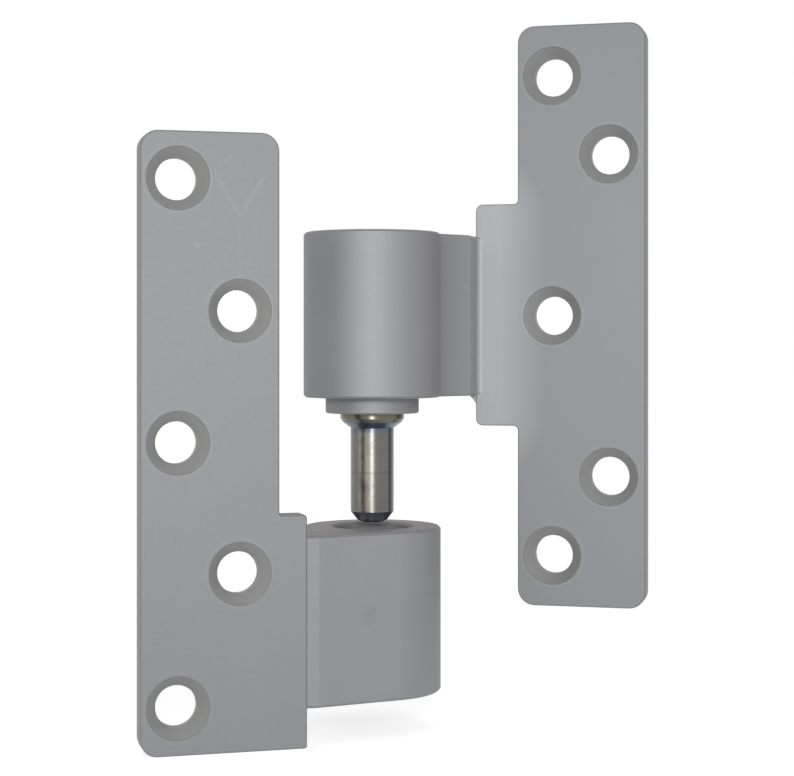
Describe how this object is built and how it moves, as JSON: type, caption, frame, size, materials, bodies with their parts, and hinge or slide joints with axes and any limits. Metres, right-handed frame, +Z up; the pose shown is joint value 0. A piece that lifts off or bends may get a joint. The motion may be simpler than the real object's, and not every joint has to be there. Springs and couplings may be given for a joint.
{
  "type": "offset pivot hinge",
  "caption": "Offset pivot hinge for a swing door: a jamb leaf with barrel and downward pin, lifted off a door leaf whose knuckle holds a roller bearing.",
  "frame": {"origin": "the middle of the jamb leaf's back face, between its narrow strip's edges and at half its height", "axes": "+Z up along the pivot axis; +Y the outward normal of the jamb leaf's back face, into the jamb; +X from the barrel towards the jamb leaf's outer edge"},
  "size_m": [0.0978, 0.069, 0.1572],
  "materials": {
    "silver_paint": "satin silver-grey paint on a casting",
    "pin_steel": "bright turned steel",
    "bearing_steel": "ground bearing steel",
    "cage_steel": "drawn strip, dull",
    "roller_steel": "polished rollers"
  },
  "bodies": {
    "jamb_half": {"jamb_leaf": "silver_paint", "pivot_pin": "pin_steel"},
    "bearing_ring": {"inner_ring": "bearing_steel"},
    "door_half": {"door_leaf": "silver_paint", "bearing_cup": "bearing_steel"},
    "roller_set": {"roller_cage": "cage_steel", "needle_roller_01": "roller_steel", "needle_roller_02": "roller_steel", "needle_roller_03": "roller_steel", "needle_roller_04": "roller_steel", "needle_roller_05": "roller_steel", "needle_roller_06": "roller_steel", "needle_roller_07": "roller_steel", "needle_roller_08": "roller_steel", "needle_roller_09": "roller_steel", "needle_roller_10": "roller_steel", "needle_roller_11": "roller_steel", "needle_roller_12": "roller_steel", "needle_roller_13": "roller_steel", "needle_roller_14": "roller_steel"}
  },
  "joints": [
    {"name": "lift_on", "type": "slide", "parent": "jamb_half", "child": "bearing_ring", "axis": [0, 0, 1], "range_m": [0, 0.0234]},
    {"name": "swing", "type": "hinge", "parent": "bearing_ring", "child": "door_half", "pos_m": [-0.04345, -0.0256, -0.05942], "axis": [0, 0, 1], "range_deg": [-30, 150]},
    {"name": "cage_turn", "type": "hinge", "parent": "bearing_ring", "child": "roller_set", "pos_m": [-0.04345, -0.0256, -0.05942], "axis": [0, 0, 1], "range_deg": [-17.7, 84.5]}
  ],
  "couplings": [
    {"joint": "cage_turn", "follows": "swing", "ratio": 0.5564}
  ]
}
